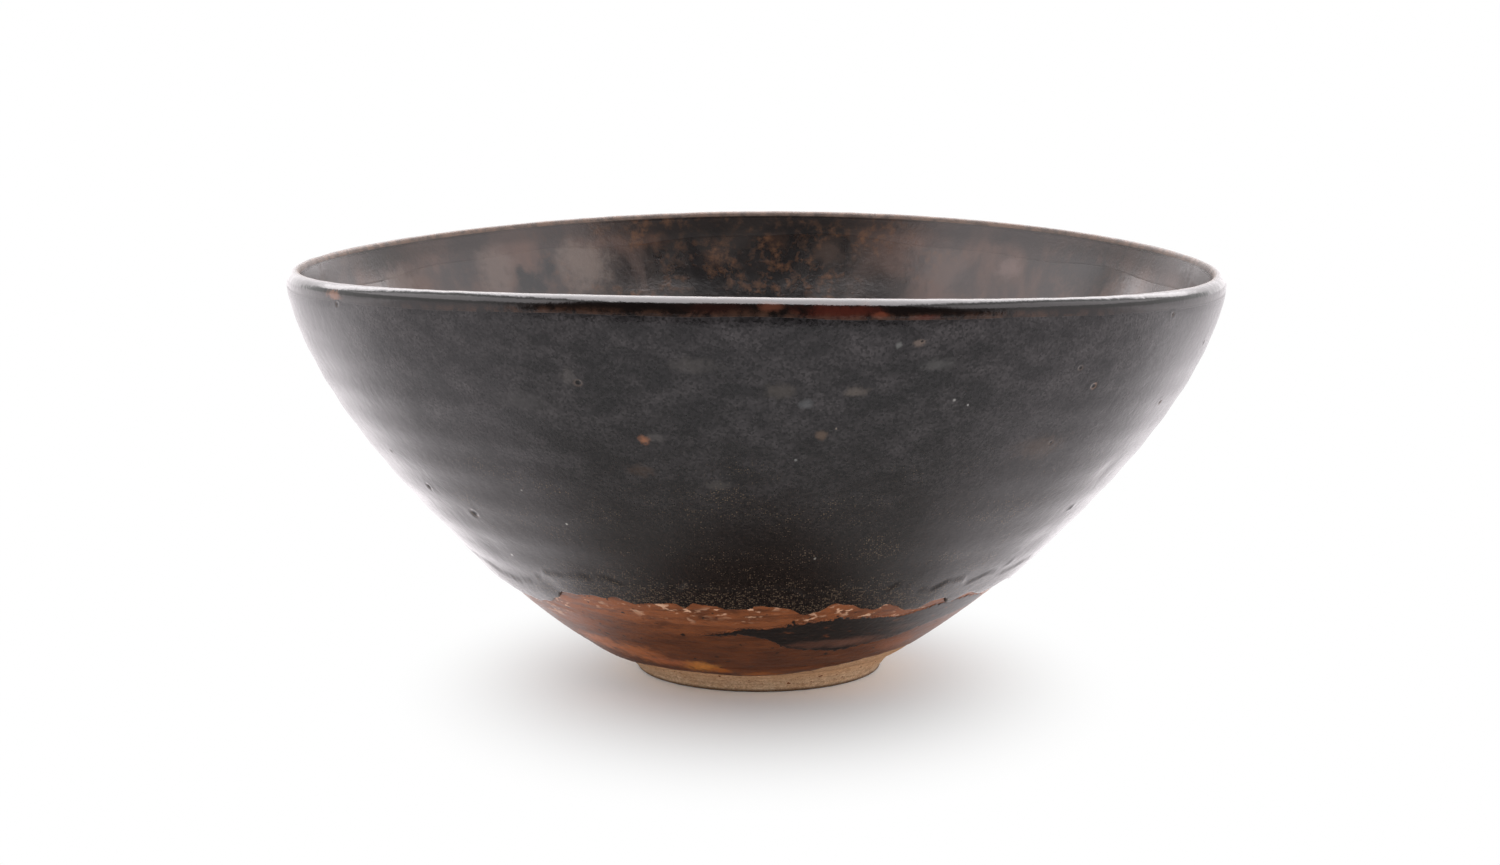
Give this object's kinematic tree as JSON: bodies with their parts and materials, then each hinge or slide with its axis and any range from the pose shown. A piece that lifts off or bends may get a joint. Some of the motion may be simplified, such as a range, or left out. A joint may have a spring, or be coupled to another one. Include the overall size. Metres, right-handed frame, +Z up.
{
  "type": "stoneware bowl",
  "caption": "Hand-thrown conical stoneware bowl on a small foot ring, black iron glaze over a brown wash, for holding tea, rice or small servings.",
  "frame": {"origin": "middle of the foot ring's underside, on the surface that the bowl stands on, under the middle of the rim's box", "axes": "+Z up along the throwing axis, -Y towards the side that the picture shows, +X to its right"},
  "size_m": [0.1506, 0.1506, 0.069],
  "materials": {
    "fired_clay": "matt bare stoneware, buff with an orange flush",
    "bare_foot_clay": "matt bare stoneware with turning marks",
    "iron_wash": "dry satin iron slip, red-brown to orange",
    "streak_glaze": "thin satin black-brown glaze",
    "outer_glaze": "satin black iron glaze with fine grey and tan mottle",
    "inner_glaze": "satin black iron glaze with rust specks",
    "rim_glaze": "glossy black to rust where the glaze ran thin over the lip"
  },
  "bodies": {
    "root": {"clay_body": "fired_clay", "foot_ring": "bare_foot_clay", "iron_wash": "iron_wash", "glaze_streak": "streak_glaze", "outer_glaze": "outer_glaze", "inner_glaze": "inner_glaze", "rim_glaze": "rim_glaze"}
  },
  "joints": []
}
